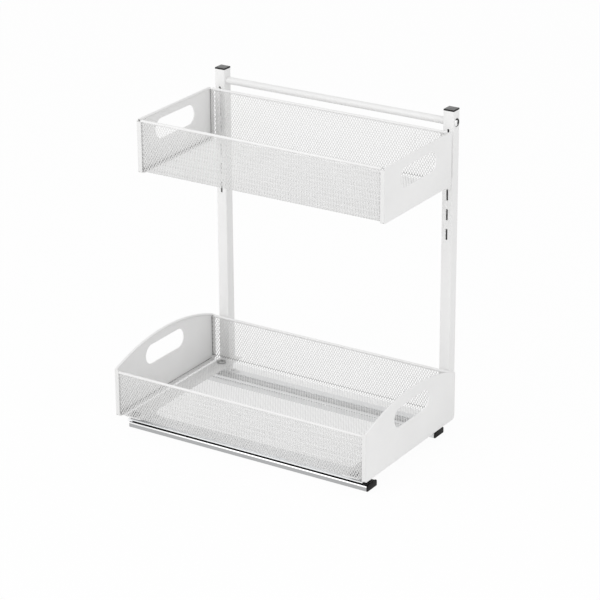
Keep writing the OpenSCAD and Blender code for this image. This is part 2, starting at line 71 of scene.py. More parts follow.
class Surface:
    # a material with one Principled shader
    def __init__(self, name, **constants):
        self.material = bpy.data.materials.new(name)
        self.material.use_nodes = True
        self.tree = self.material.node_tree
        self.shader = self.tree.nodes["Principled BSDF"]
        for socket, value in constants.items():
            self.shader.inputs[socket.replace("_", " ")].default_value = value

    def node(self, kind, settings=None, inputs=None, output=0):
        made = self.tree.nodes.new(kind)
        for key, value in (settings or {}).items():
            if key == "stops":
                ramp = made.color_ramp
                while len(ramp.elements) < len(value):
                    ramp.elements.new(0.5)
                for element, (position, grey) in zip(ramp.elements, value):
                    element.position = position
                    element.color = (grey, grey, grey, 1)
            else:
                setattr(made, key, value)
        for key, value in (inputs or {}).items():
            self.feed(made.inputs[key], value)
        return Link(self, made.outputs[output])

    def feed(self, socket, value):
        if isinstance(value, Link):
            self.tree.links.new(value.socket, socket)
        else:
            socket.default_value = value

    def place(self, scale=(1, 1, 1)):
        # object coordinates, stretched by scale
        coords = self.node("ShaderNodeTexCoord", output="Object")
        return self.node("ShaderNodeMapping", {}, {"Vector": coords, "Scale": scale})

    def noise(self, scale, detail=3.0, roughness=0.5, stretch=(1, 1, 1)):
        return self.node("ShaderNodeTexNoise", {}, {
            "Vector": self.place(stretch), "Scale": scale, "Detail": detail, "Roughness": roughness})

    def along(self, axis):
        # the object coordinate of one axis: 0 is X, 1 is Y and 2 is Z
        coords = self.node("ShaderNodeTexCoord", output="Object")
        return self.node("ShaderNodeSeparateXYZ", {}, {0: coords}, output=axis)

    def fromMiddle(self):
        # the distance from the plane X = 0
        return self.node("ShaderNodeMath", {"operation": "ABSOLUTE"}, {0: self.along(0)})

    def step(self, value, low, high):
        # 0 below low, 1 above high and a slope between them
        return self.node("ShaderNodeMapRange", {}, {0: value, 1: low, 2: high})

    def band(self, value, low, high, slope):
        return self.step(value, low - slope, low) * (1 - self.step(value, high, high + slope))

    def ramp(self, factor, stops):
        return self.node("ShaderNodeValToRGB", {"stops": stops}, {"Fac": factor})

    def blend(self, factor, first, second):
        # sockets 6 and 7 of a Mix node are its colours, and output 2 is its colour result
        return self.node("ShaderNodeMix", {"data_type": "RGBA"}, {0: factor, 6: first, 7: second}, output=2)

    def bump(self, height, strength, distance):
        normal = self.node("ShaderNodeBump", {}, {
            "Height": height, "Strength": strength, "Distance": distance})
        self.feed(self.shader.inputs["Normal"], normal)

    def finish(self, colour, roughness):
        self.feed(self.shader.inputs["Base Color"], colour)
        self.feed(self.shader.inputs["Roughness"], roughness)
        return self.material


def grey(level, tint=(1, 1, 1)):
    return tuple(level * t for t in tint) + (1,)


coat = {
    "white": 0.9,        # powder coat, linear
    "shade": 0.875,      # its slightly duller patches
    "mesh": 0.87,        # share of that white which the mesh strands keep, as painted shade for the shaded faces of the strands
    "seam": 0.07,        # painted shade in the crevice inside a fold
    "lip": 0.16,         # share of that crevice's shade on a front flange
    "warmth": (1, 0.998, 0.994),
    "roughness": 0.42,
    "patches": 14,       # dull patches per metre, roughly
    "specks": 2600, "speckShade": 0.93, "speckShare": 0.06,
    "creaseShare": 0.6,  # how much of the crevice's shade shows where a mask is 1
    "peel": 900,         # orange peel, bumps per metre
    "peelHeight": 0.00008,
    "peelRough": 0.16, "smears": 30, "smearRough": 0.08,
}
crease = {
    "half": 0.4 * mm, "slope": 0.3 * mm,            # the seam along the floor and up the rear corner
    "over": 0.2 * mm, "acrossSlope": 0.4 * mm,
    "lipFrom": 0.5 * mm, "lipTo": 1.1 * mm,         # behind the front edge
}
selvedge = {
    "low": 5 * mm, "high": 7 * mm, "slope": 0.6 * mm,   # the lap's height above the basket's foot
    "rearFrom": 3.5 * mm, "rearTo": 3 * mm,             # in front of the rear edge
    "frontFrom": 2.4 * mm, "frontTo": 2.8 * mm,         # behind the front edge
    "width": 1.6 * mm, "edgeSlope": 0.4 * mm,
}


def creaseShadeMask(s, b):
    # painted shade in the seam inside a panel's fold, along the floor and up the rear corner, and a lighter
    # painted shade on the front flange
    inner = b["halfWidth"] - panel["sheet"]
    low, back = b["bottom"] + panel["sheet"], b["rear"] - panel["sheet"]
    foot = s.band(s.along(2), low - crease["half"], low + crease["half"], crease["slope"])
    corner = s.band(s.along(1), back - crease["half"], back + crease["half"], crease["slope"])
    across = s.band(s.fromMiddle(), inner - b["seam"], inner + crease["over"], crease["acrossSlope"])
    seam = across * (1 - (1 - foot) * (1 - corner))
    lip = 1 - s.step(s.along(1), b["front"] + crease["lipFrom"], b["front"] + crease["lipTo"])
    return 1 - (1 - seam) * (1 - lip * coat["lip"])


def selvedgeShadeMask(s, b):
    # painted shade where the mesh is lapped: along the foot of the rear wall and beside the front flanges
    edge = b["halfWidth"] - panel["flange"]
    lap = s.band(s.along(2), b["bottom"] + selvedge["low"], b["bottom"] + selvedge["high"], selvedge["slope"])
    rear = s.step(s.along(1), b["rear"] - selvedge["rearFrom"], b["rear"] - selvedge["rearTo"])
    front = 1 - s.step(s.along(1), b["front"] + selvedge["frontFrom"], b["front"] + selvedge["frontTo"])
    beside = s.band(s.fromMiddle(), edge - selvedge["width"], edge, selvedge["edgeSlope"])
    return 1 - (1 - lap * rear) * (1 - beside * front * b["lapShade"])


def powderCoat(name, peelStrength, share=1.0, basket=None, mask=None):
    # share dulls the white, or brightens it above 1; mask picks out where a basket gets painted shade, in the
    # seams of its folds or at the laps of its mesh
    s = Surface(name, Specular_IOR_Level=0.45)
    patches = s.ramp(s.noise(coat["patches"], 2), [(0.35, 0.0), (0.65, 1.0)])
    specks = s.ramp(s.noise(coat["specks"], 1), [(0.3, 0.0), (0.42, 1.0)])
    dull = coat["shade"] * share
    colour = s.blend(patches, grey(dull, coat["warmth"]), grey(coat["white"] * share, coat["warmth"]))
    clean = specks * coat["speckShare"] + (1 - coat["speckShare"])
    colour = s.blend(clean, grey(dull * coat["speckShade"]), colour)
    if mask:
        colour = s.blend(mask(s, basket) * coat["creaseShare"], colour, grey(coat["seam"]))
    peel = s.noise(coat["peel"], 2, 0.45)
    smears = s.noise(coat["smears"], 3)
    s.bump(peel, peelStrength, coat["peelHeight"])
    return s.finish(colour, coat["roughness"] + (peel - 0.5) * coat["peelRough"]
                    + (smears - 0.5) * coat["smearRough"])


zinc = {
    "lines": 500, "lineStretch": (0.02, 1, 1), "lineShade": 0.8, "lineShare": 0.3, "lineRough": 0.2,
    "spangle": 240.0, "spangleRise": 0.2,
    "stains": 26, "stainShade": 0.9, "stainRough": 0.12,
    "cold": (0.985, 1, 1.015), "stained": (0.99, 1, 1.01),
    "zoneSlope": 0.15 * mm,
    "bump": 0.25, "height": 0.00004,
}


def rolledSteel(name, level, roughness, zones=()):
    # zinc-plated sheet with fine lines along the rolling direction, X
    # zones are heights with a level of their own, such as a painted highlight on a rolled lip and painted shade
    # in the gap above it
    s = Surface(name, Metallic=1.0)
    lines = s.noise(zinc["lines"], 4, 0.6, zinc["lineStretch"])
    spangle = s.node("ShaderNodeTexVoronoi", {"feature": "F1"}, {"Vector": s.place(), "Scale": zinc["spangle"]})
    stains = s.noise(zinc["stains"], 4)
    colour = s.blend(stains, grey(level * zinc["stainShade"], zinc["stained"]), grey(level, zinc["cold"]))
    bright = lines * zinc["lineShare"] + (1 - zinc["lineShare"])
    colour = s.blend(bright, grey(level * zinc["lineShade"]), colour)
    for low, high, other in zones:
        zone = s.band(s.along(2), low * mm, high * mm, zinc["zoneSlope"])
        colour = s.blend(zone, colour, grey(other))
    s.bump(lines + spangle * zinc["spangleRise"], zinc["bump"], zinc["height"])
    return s.finish(colour, roughness + (lines - 0.5) * zinc["lineRough"] + (stains - 0.5) * zinc["stainRough"])


turned = {
    "grain": 700, "dull": 90, "dullShade": 0.82, "rough": 0.15,
    "reflectionDark": 0.02, "reflectionDiscEdge": 0.4 * mm,
    "bump": 0.3, "height": 0.00003,
}


def turnedSteel(name, level, roughness, reflectionDisc=None):
    # reflectionDisc is the y, z and radius of a bright disc set off-centre in a head painted dark, a painted
    # reflection
    s = Surface(name, Metallic=1.0)
    grain = s.noise(turned["grain"], 3, 0.55)
    dull = s.noise(turned["dull"], 4)
    colour = s.blend(dull, grey(level * turned["dullShade"]), grey(level))
    if reflectionDisc:
        y, z, size = (v * mm for v in reflectionDisc)
        radius = ((s.along(1) - y) ** 2 + (s.along(2) - z) ** 2) ** 0.5
        colour = s.blend(s.step(radius, size, size + turned["reflectionDiscEdge"]), colour, grey(turned["reflectionDark"]))
    s.bump(grain, turned["bump"], turned["height"])
    return s.finish(colour, roughness + (grain - 0.5) * turned["rough"] + (dull - 0.5) * turned["rough"])


moulded = {
    "grain": 1500, "grainRough": 0.2,
    "scuffs": 60, "scuffShare": 0.5, "scuffLight": 2.2, "scuffRough": 0.08,
    "bump": 0.5, "height": 0.00006,
}


def mouldedPlastic(name, level, roughness, gloss=0.5, topReflection=None):
    # topReflection is a painted reflection on a top face: the heights where it starts and ends, and its level
    s = Surface(name, Specular_IOR_Level=gloss)
    grain = s.noise(moulded["grain"], 2, 0.6)
    scuff = s.ramp(s.noise(moulded["scuffs"], 5, 0.6), [(0.52, 0.0), (0.75, 1.0)])
    colour = s.blend(scuff * moulded["scuffShare"], grey(level), grey(level * moulded["scuffLight"]))
    if topReflection:
        colour = s.blend(s.step(s.along(2), topReflection["from"], topReflection["to"]), colour, grey(topReflection["level"]))
    s.bump(grain, moulded["bump"], moulded["height"])
    return s.finish(colour, roughness + (grain - 0.5) * moulded["grainRough"] + scuff * moulded["scuffRough"])


# zones and reflectionDisc are in millimetres
coatedSheet = powderCoat("WhitePowderCoatOnSheet", 0.35)
coatedWire = powderCoat("WhitePowderCoatOnWire", 0.2, 0.96)
# a duller copy of the white: painted shade that tones down the tube's lit top
barCoat = powderCoat("WhitePowderCoatOnTube", 0.3, 0.96)
# a brighter copy of the white: painted light on plates that lie in the mesh floor's shade
plateCoat = powderCoat("WhitePowderCoatOnPlate", 0.3, 1.08)
# one zinc at two levels set by how each rail is lit: the front rail's lower level is painted shade on its side,
# its zones a painted highlight on the rolled lip and painted shade in the gap above it; the rear rail's zone is
# painted shade in that gap
railZinc = {
    "front": rolledSteel("ZincPlatedFrontRail", 0.48, 0.34, [(5.5, 6.9, 0.88), (7.2, 9, 0.015)]),
    "rear": rolledSteel("ZincPlatedRearRail", 0.74, 0.34, [(7.3, 9, 0.28)]),
}
# the inner runners: their low levels are painted shade in the gap between rail and strip, darkest at the front
shadedRunnerZinc = {
    "front": rolledSteel("FrontRunnerPaintedShade", 0.05, 0.3),
    "rear": rolledSteel("RearRunnerPaintedShade", 0.52, 0.3),
}
# one zinc at two levels: the front strip's higher level is painted light
stripZinc = {
    "front": rolledSteel("ZincPlatedFrontStrip", 0.99, 0.4),
    "rear": rolledSteel("ZincPlatedRearStrip", 0.86, 0.36),
}
cageSteel = rolledSteel("PressedCageSteel", 0.6, 0.38)
ballSteel = turnedSteel("PolishedBallSteel", 0.75, 0.12)
screwSteel = turnedSteel("ZincPlatedScrew", 0.62, 0.32)
# real screw heads, set darker than the other screws as painted shade for the dark patch at the posts' feet
floorScrewShadeSteel = turnedSteel("FloorScrewPaintedShade", 0.5, 0.5)
# a bright head whose painted dark reflection covers all but an off-centre bright disc
barScrewSteel = turnedSteel("BrightBarScrew", 0.95, 0.2, (110.1, 417.6, 3.7))
bumperPlastic = mouldedPlastic("BlackBumperPlastic", 0.004, 0.6, 0.2)
# its top face carries a painted reflection
capPlastic = mouldedPlastic("BlackCapPlastic", 0.006, 0.5, 0.2,
                            {"from": 434.88 * mm, "to": 434.98 * mm, "level": 0.19})
plugPlastic = mouldedPlastic("BlackPlugPlastic", 0.03, 0.55)
hollowDark = mouldedPlastic("ShadeInsideRolledEdge", 0.02, 0.9, 0.1)
print("finishes made:", len(bpy.data.materials))


def block(bm, low, high):
    # a box between two corners
    made = bmesh.ops.create_cube(bm, size=1)["verts"]
    low, high = Vector(low), Vector(high)
    bmesh.ops.scale(bm, vec=high - low, verts=made)
    bmesh.ops.translate(bm, vec=(low + high) / 2, verts=made)


def vertsOf(geom):
    return [v for v in geom if isinstance(v, bmesh.types.BMVert)]


def openEdges(geom):
    return [e for e in geom if isinstance(e, bmesh.types.BMEdge) and e.is_boundary]


def isSharp(edge):
    # true for a fold of more than a radian, such as the rim of a cylinder
    return edge.calc_face_angle(0) > 1


def roundCorner(bm, vert, radius, segments=8):
    bmesh.ops.bevel(bm, geom=[vert], offset=radius, segments=segments, profile=0.5,
                    affect="VERTICES", material=-1)


def roundEdges(bm, edges, width, segments, clamp=False):
    bmesh.ops.bevel(bm, geom=edges, offset=width, segments=segments, profile=0.5,
                    affect="EDGES", clamp_overlap=clamp, material=-1)


def pour(source, bm):
    # moves a finished shape into another bmesh
    mesh = bpy.data.meshes.new("poured")
    source.to_mesh(mesh)
    source.free()
    bm.from_mesh(mesh)
    bpy.data.meshes.remove(mesh)


def outline(bm, corners, radii=(), segments=8):
    # a closed loop of edges through the corners, each rounded by its own radius
    verts = [bm.verts.new(c) for c in corners]
    bm.faces.new(verts)
    for vert, radius in zip(verts, radii):
        if radius > 0:
            roundCorner(bm, vert, radius, segments)
    bmesh.ops.delete(bm, geom=[bm.faces[:][-1]], context="FACES_ONLY")


def fillLoops(bm):
    # one flat face between all loops of bm, with the inner ones as holes
    bmesh.ops.triangle_fill(bm, use_beauty=True, use_dissolve=False, edges=bm.edges[:])
    bmesh.ops.dissolve_limit(bm, angle_limit=0.02, use_dissolve_boundaries=False,
                             verts=bm.verts[:], edges=bm.edges[:])


def softEdges(bm, width):
    # rounds every fold sharper than 28 degrees
    limit = math.radians(28)
    folds = [e for e in bm.edges if e.is_manifold and e.calc_face_angle(0) > limit]
    if folds:
        roundEdges(bm, folds, width, 2, clamp=True)


def shadeRound(bm, sharper=32):
    # smooth shading, except over folds sharper than the given angle
    limit = math.radians(sharper)
    for face in bm.faces:
        face.smooth = True
    for edge in bm.edges:
        edge.smooth = edge.is_manifold and edge.calc_face_angle(0) < limit


def handOf(side):
    return "left" if side < 0 else "right"


def keep(bm, name, body, material, stands=(), sheet=0, fold=0, insideShade=None):
    # the finished piece as an object that rides on a body and stands for CAD nodes
    mesh = bpy.data.meshes.new(name)
    bm.to_mesh(mesh)
    bm.free()
    mesh.materials.append(material)
    if insideShade:
        mesh.materials.append(insideShade)
    piece = bpy.data.objects.new(name, mesh)
    bpy.context.scene.collection.objects.link(piece)
    if sheet:
        wall = piece.modifiers.new("Wall", "SOLIDIFY")
        wall.thickness = sheet
        wall.offset = -1
        wall.use_even_offset = True
    if fold:
        edge = piece.modifiers.new("Edge", "BEVEL")
        edge.width = fold
        edge.segments = 2
        edge.limit_method = "ANGLE"
        edge.angle_limit = math.radians(35)
    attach(piece, body)
    if stands:
        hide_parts(*stands)


def softened(node, body, material, width):
    # the CAD node's own shape with its edges eased
    bm = bmesh.new()
    bm.from_mesh(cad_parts[node].data)
    bmesh.ops.remove_doubles(bm, verts=bm.verts[:], dist=0.004 * mm)
    bmesh.ops.dissolve_limit(bm, angle_limit=0.01, use_dissolve_boundaries=False,
                             verts=bm.verts[:], edges=bm.edges[:])
    softEdges(bm, width)
    shadeRound(bm)
    words = node.split("_")
    name = words[0] + "".join(w.capitalize() for w in words[1:])
    keep(bm, name, body, material, [node])


lower = {
    "body": "carriage", "prefix": "lower",
    "halfWidth": 190 * mm, "front": -120.5 * mm, "rear": 102.5 * mm,
    "bottom": 19.5 * mm, "top": 85 * mm, "rise": 20.5 * mm,
    "handHole": 77 * mm, "topRadius": 0, "lapShade": 0.45, "seam": 1.4 * mm,
    "rimDrop": 2.2 * mm,                       # how far the front rim lies below the walls' top
}
upper = {
    "body": "upper_basket", "prefix": "upper",
    "halfWidth": 181.5 * mm, "front": -66.5 * mm, "rear": 97 * mm,
    "bottom": 339.5 * mm, "top": 410.5 * mm, "rise": 0,
    "handHole": 385 * mm, "topRadius": 3 * mm, "lapShade": 0.7, "seam": 0.7 * mm,
    "rimDrop": 0,
}
panel = {
    "sheet": 1.2 * mm,
    "flange": 6 * mm, "bottomFlange": 7.5 * mm,
    "frontCorner": 2 * mm, "rearCorner": 6 * mm, "foldRadius": 0.9 * mm,
    "holeLength": 87 * mm, "holeHeight": 27 * mm,
    "edge": 0.3 * mm, "arcSteps": 40,
}
bead = {
    "size": 3.2 * mm, "around": 14, "edge": 0.25 * mm,
    "wall": 0.3 * mm, "taper": 0.05 * mm, "hollow": 2.5 * mm,
}
net = {
    "pitchX": 3.88 * mm, "pitchV": 6.1 * mm,   # one diamond, across and along the sheet
    "strand": 0.66 * mm, "rib": 0.4 * mm, "crown": 0.07 * mm,
    "layer": 0.5 * mm,                         # mesh centre behind the flanges' inner faces
    "frontBend": 2.0 * mm, "rearBend": 4.3 * mm,
    "gap": 0.9 * mm,                           # room between mesh and end panel
    "spareX": 3 * mm, "spareV": 4 * mm,        # lattice left over before its straight cut
}
rim = {
    "size": 3.6 * mm, "around": 20, "edge": 0.4 * mm,
    "reach": 0.4 * mm,                         # into the panels' flanges
    "overMesh": 0.6 * mm,                      # how far the mesh runs up behind the wire
}


def archCentre(b):
    # y, z and radius of the arched top, and half the angle that it spans
    half = (b["rear"] - b["front"]) / 2
    radius = (half ** 2 + b["rise"] ** 2) / (2 * b["rise"])
    return (b["front"] + b["rear"]) / 2, b["top"] + b["rise"] - radius, radius, math.asin(half / radius)


def panelOutline(bm, b, x):
    # the end panel's edge, as a loop in the plane X = x
    if not b["rise"]:
        corners = [(x, b["front"], b["bottom"]), (x, b["rear"], b["bottom"]),
                   (x, b["rear"], b["top"]), (x, b["front"], b["top"])]
        outline(bm, corners, [panel["frontCorner"], panel["rearCorner"], b["topRadius"], b["topRadius"]])
        return
    yc, zc, radius, half = archCentre(b)
    start = bm.verts.new((x, b["rear"], b["top"]))
    bmesh.ops.spin(bm, geom=[start], cent=(x, yc, zc), axis=(1, 0, 0), dvec=(0, 0, 0),
                   angle=2 * half, steps=panel["arcSteps"])
    ends = sorted((v for v in bm.verts if len(v.link_edges) == 1), key=lambda v: v.co.y)
    low = [bm.verts.new((x, b["front"], b["bottom"])), bm.verts.new((x, b["rear"], b["bottom"]))]
    for pair in [(ends[0], low[0]), (low[0], low[1]), (low[1], ends[1])]:
        bm.edges.new(pair)
    bmesh.ops.contextual_create(bm, geom=bm.edges[:])
    for vert, corner in zip(low, [panel["frontCorner"], panel["rearCorner"]]):
        roundCorner(bm, vert, corner)
    bmesh.ops.delete(bm, geom=bm.faces[:], context="FACES_ONLY")


def handHole(bm, b, x):
    yc = (b["front"] + b["rear"]) / 2
    half, tall = panel["holeLength"] / 2, panel["holeHeight"] / 2
    z = b["handHole"]
    corners = [(x, yc - half, z - tall), (x, yc + half, z - tall),
               (x, yc + half, z + tall), (x, yc - half, z + tall)]
    outline(bm, corners, [tall * 0.999] * 4, 10)


def coatsFor(part, peelStrength, share, mask):
    return {b["prefix"]: powderCoat("WhitePowderCoatOn" + b["prefix"].capitalize() + part,
                                    peelStrength, share, b, mask) for b in (lower, upper)}


panelCoats = coatsFor("Panels", 0.35, 1.0, creaseShadeMask)
meshCoats = coatsFor("Mesh", 0.15, coat["mesh"], selvedgeShadeMask)


def endPanel(b, side):
    bm = bmesh.new()
    x = b["halfWidth"]
    panelOutline(bm, b, x)
    handHole(bm, b, x)
    fillLoops(bm)
    flangeTop = b["top"] - b["topRadius"] + 0.01 * mm

    def onRim(edge):
        # edges of the front, bottom and rear, but not of the top or of the hand hole
        mid = (edge.verts[0].co + edge.verts[1].co) / 2
        near = min(mid.y - b["front"], b["rear"] - mid.y, mid.z - b["bottom"])
        highest = max(v.co.z for v in edge.verts)
        return edge.is_boundary and near < panel["rearCorner"] * 0.3 and highest < flangeTop

    folds = [e for e in bm.edges if onRim(e)]
    flange = bmesh.ops.extrude_edge_only(bm, edges=folds)["geom"]
    bmesh.ops.translate(bm, vec=(-panel["flange"], 0, 0), verts=vertsOf(flange))
    floorTop = b["bottom"] + 0.01 * mm
    floorEdges = [e for e in openEdges(flange) if max(v.co.z for v in e.verts) < floorTop]
    wider = bmesh.ops.extrude_edge_only(bm, edges=floorEdges)["geom"]
    bmesh.ops.translate(bm, vec=(panel["flange"] - panel["bottomFlange"], 0, 0), verts=vertsOf(wider))
    roundEdges(bm, [e for e in folds if e.is_valid], panel["foldRadius"], 3, clamp=True)
    if side < 0:
        bmesh.ops.mirror(bm, geom=bm.verts[:] + bm.edges[:] + bm.faces[:], axis="X", merge_dist=-1)
        bmesh.ops.delete(bm, geom=[v for v in bm.verts if v.co.x > 0], context="VERTS")
    bmesh.ops.recalc_face_normals(bm, faces=bm.faces[:])
    outwards = sum(f.normal.x * side * f.calc_area() for f in bm.faces)
    if outwards < 0:
        bmesh.ops.reverse_faces(bm, faces=bm.faces[:])
    shadeRound(bm)
    hand = handOf(side)
    keep(bm, b["prefix"] + hand.capitalize() + "Panel", b["body"], panelCoats[b["prefix"]],
         [b["prefix"] + "_" + hand + "_panel"], sheet=panel["sheet"], fold=panel["edge"])


def rolledEdge(b, side):
    # the round bead that hems the top of an end panel
    bm = bmesh.new()
    r = bead["size"] / 2
    x = side * (b["halfWidth"] - r)
    ring = bmesh.ops.create_circle(bm, cap_ends=True, radius=r, segments=bead["around"])["verts"]
    if b["rise"]:
        yc, zc, radius, half = archCentre(b)
        turn = Matrix.Rotation(math.radians(90), 4, "X")
        bmesh.ops.transform(bm, matrix=Matrix.Translation((x, yc, zc)) @ Matrix.Rotation(-half, 4, "X")
                            @ Matrix.Translation((0, 0, radius - r)) @ turn, verts=ring)
        bmesh.ops.spin(bm, geom=bm.faces[:], cent=(x, yc, zc), axis=(1, 0, 0), dvec=(0, 0, 0),
                       angle=2 * half, steps=panel["arcSteps"])
    else:
        turn = Matrix.Rotation(math.radians(-90), 4, "X")
        start = b["front"] + b["topRadius"]
        bmesh.ops.transform(bm, matrix=Matrix.Translation((x, start, b["top"] - r)) @ turn, verts=ring)
        run = bmesh.ops.extrude_face_region(bm, geom=bm.faces[:])["geom"]
        bmesh.ops.translate(bm, vec=(0, b["rear"] - b["topRadius"] - start, 0), verts=vertsOf(run))
    bmesh.ops.remove_doubles(bm, verts=bm.verts[:], dist=0.001 * mm)
    bmesh.ops.recalc_face_normals(bm, faces=bm.faces[:])
    roundEdges(bm, [e for e in bm.edges if e.is_manifold and isSharp(e)], bead["edge"], 2)
    caps = [f for f in bm.faces if len(f.verts) > 8]
    bmesh.ops.inset_individual(bm, faces=caps, thickness=bead["wall"], depth=0, use_even_offset=True)
    bmesh.ops.inset_individual(bm, faces=caps, thickness=bead["taper"], depth=-bead["hollow"],
                               use_even_offset=True)
    for f in caps:                     # the rolled sheet is hollow, and its inside is painted shade
        f.material_index = 1
        for e in f.edges:
            for wall in e.link_faces:
                wall.material_index = 1
    shadeRound(bm, 40)
    keep(bm, b["prefix"] + handOf(side).capitalize() + "RolledEdge", b["body"], coatedWire,
         insideShade=hollowDark)


def rimWire(b, place):
    bm = bmesh.new()
    r = rim["size"] / 2
    half = b["halfWidth"] - panel["flange"] + rim["reach"]
    y = b["front"] + r if place == "front" else b["rear"] - r
    z = b["top"] - r - (b["rimDrop"] if place == "front" else 0)
    made = bmesh.ops.create_cone(bm, cap_ends=True, radius1=r, radius2=r, depth=2 * half,
                                 segments=rim["around"])["verts"]
    bmesh.ops.transform(bm, matrix=Matrix.Translation((0, y, z))
                        @ Matrix.Rotation(math.radians(90), 4, "Y"), verts=made)
    roundEdges(bm, [e for e in bm.edges if isSharp(e)], rim["edge"], 2)
    shadeRound(bm, 40)
    keep(bm, b["prefix"] + place.capitalize() + "Rim", b["body"], coatedWire,
         [b["prefix"] + "_" + place + "_rim"])


def foldPath(b):
    # v runs down the front wall, along the floor and up the rear wall of the flat sheet
    # returns place(v, lift), the v where each wall starts and ends, and the cuts that the bends need
    inset = panel["sheet"] + net["layer"]
    frontY, rearY = b["front"] + inset, b["rear"] - inset
    floorZ = b["bottom"] + inset
    top = b["top"] - rim["size"] + rim["overMesh"]
    rf, rr = net["frontBend"], net["rearBend"]
    v1 = top - floorZ - rf
    v2 = v1 + rf * math.pi / 2
    v3 = v2 + (rearY - rr) - (frontY + rf)
    v4 = v3 + rr * math.pi / 2
    v5 = v4 + top - floorZ - rr

    def place(v, lift):
        # y and z of a point; lift is its distance from the sheet's middle, towards the basket's inside
        if v <= v1:
            return frontY + lift, top - v
        if v < v2:
            a = (v - v1) / rf
            return frontY + rf - (rf - lift) * math.cos(a), floorZ + rf - (rf - lift) * math.sin(a)
        if v <= v3:
            return frontY + rf + v - v2, floorZ + lift
        if v < v4:
            a = (v - v3) / rr
            return rearY - rr + (rr - lift) * math.sin(a), floorZ + rr - (rr - lift) * math.cos(a)
        return rearY - lift, floorZ + rr + v - v4

    cuts = [v1 + (v2 - v1) * k / 3 for k in range(4)] + [v3 + (v4 - v3) * k / 4 for k in range(5)]
    return place, (b["rimDrop"], v1, v4, v5), cuts


def sidesOf(half, vFrom, vTo, spareX=0, spareV=0):
    # a point and an outward normal for each edge of a flat sheet, moved out by the spare widths
    return [((-half - spareX, 0, 0), (-1, 0, 0)), ((half + spareX, 0, 0), (1, 0, 0)),
            ((0, vFrom - spareV, 0), (0, -1, 0)), ((0, vTo + spareV, 0), (0, 1, 0))]


def cutSheet(bm, point, normal, clear=False):
    bmesh.ops.bisect_plane(bm, geom=bm.verts[:] + bm.edges[:] + bm.faces[:], dist=1e-7,
                           plane_co=point, plane_no=normal, clear_outer=clear)


def diamondNet(b, name, vFrom, vTo, place, cuts):
    # a lattice of diamonds, cut to size, thickened and folded into the basket
    half = b["halfWidth"] - panel["sheet"] - net["gap"]
    cells = math.ceil(2 * half / net["pitchX"] + (vTo - vFrom) / net["pitchV"]) + 4
    cells += cells % 2
    rows = round((vFrom + vTo) / 2 / net["pitchV"])        # keeps the pattern in step from piece to piece
    bm = bmesh.new()
    bmesh.ops.create_grid(bm, x_segments=cells, y_segments=cells, size=cells / 2)
    diagonal = math.sqrt(2)
    bmesh.ops.rotate(bm, cent=(0, 0, 0), matrix=Matrix.Rotation(math.radians(45), 3, "Z"), verts=bm.verts[:])
    bmesh.ops.scale(bm, vec=(net["pitchX"] / diagonal, net["pitchV"] / diagonal, 1), verts=bm.verts[:])
    bmesh.ops.translate(bm, vec=(0, rows * net["pitchV"], 0), verts=bm.verts[:])
    for point, normal in sidesOf(half, vFrom, vTo, net["spareX"], net["spareV"]):
        far = [f for f in bm.faces if (f.calc_center_median() - Vector(point)).dot(Vector(normal)) > 0]
        bmesh.ops.delete(bm, geom=far, context="FACES")
    gaps = bm.faces[:]
    bmesh.ops.inset_individual(bm, faces=gaps, thickness=net["strand"] / 2, use_even_offset=True)
    ridge = bm.verts.layers.int.new("ridge")
    rimVerts = {v for f in gaps for v in f.verts}
    for vert in bm.verts:
        vert[ridge] = 0 if vert in rimVerts else 1
    bmesh.ops.delete(bm, geom=gaps, context="FACES_ONLY")
    for point, normal in sidesOf(half, vFrom, vTo):
        cutSheet(bm, point, normal, clear=True)
    for v in cuts:
        if vFrom < v < vTo:
            cutSheet(bm, (0, v, 0), (0, 1, 0))
    backs = vertsOf(bmesh.ops.extrude_face_region(bm, geom=bm.faces[:], use_keep_orig=True)["geom"])
    bmesh.ops.translate(bm, vec=(0, 0, net["rib"]), verts=backs)
    backs = set(backs)
    for vert in bm.verts:
        u, v, lift = vert.co
        lift -= net["rib"] / 2
        lift += (net["crown"] if vert in backs else -net["crown"]) * vert[ridge]
        vert.co = (u, *place(v, lift))
    bmesh.ops.recalc_face_normals(bm, faces=bm.faces[:])
    shadeRound(bm, 50)
    words = name.split("_")
    print("  ", name, len(bm.faces), "faces")
    keep(bm, words[0] + words[1].capitalize() + "Mesh", b["body"], meshCoats[b["prefix"]],
         [name])


for basket in (lower, upper):
    place, stops, cuts = foldPath(basket)
    for name, start, end in [("front", *stops[0:2]), ("floor", *stops[1:3]), ("rear", *stops[2:4])]:
        diamondNet(basket, basket["prefix"] + "_" + name + "_mesh", start, end, place, cuts)
    for side in (-1, 1):
        endPanel(basket, side)
        rolledEdge(basket, side)
    for place in ("front", "rear"):
        rimWire(basket, place)
print("baskets made")


post = {
    "inner": 164 * mm, "outer": 179 * mm, "front": 105.5 * mm, "rear": 120.5 * mm,
    "bottom": 20.7 * mm, "top": 433 * mm, "wall": 1.2 * mm, "corner": 1.1 * mm,
    "slots": [402.3 - 26.5 * k for k in range(6)],      # their middle heights in millimetres
    "slotLength": 15 * mm, "slotWidth": 2.8 * mm, "slotRound": 0.7,
    "edge": 0.2 * mm, "longEdge": 200 * mm,             # only the tube's own corners are longer
}


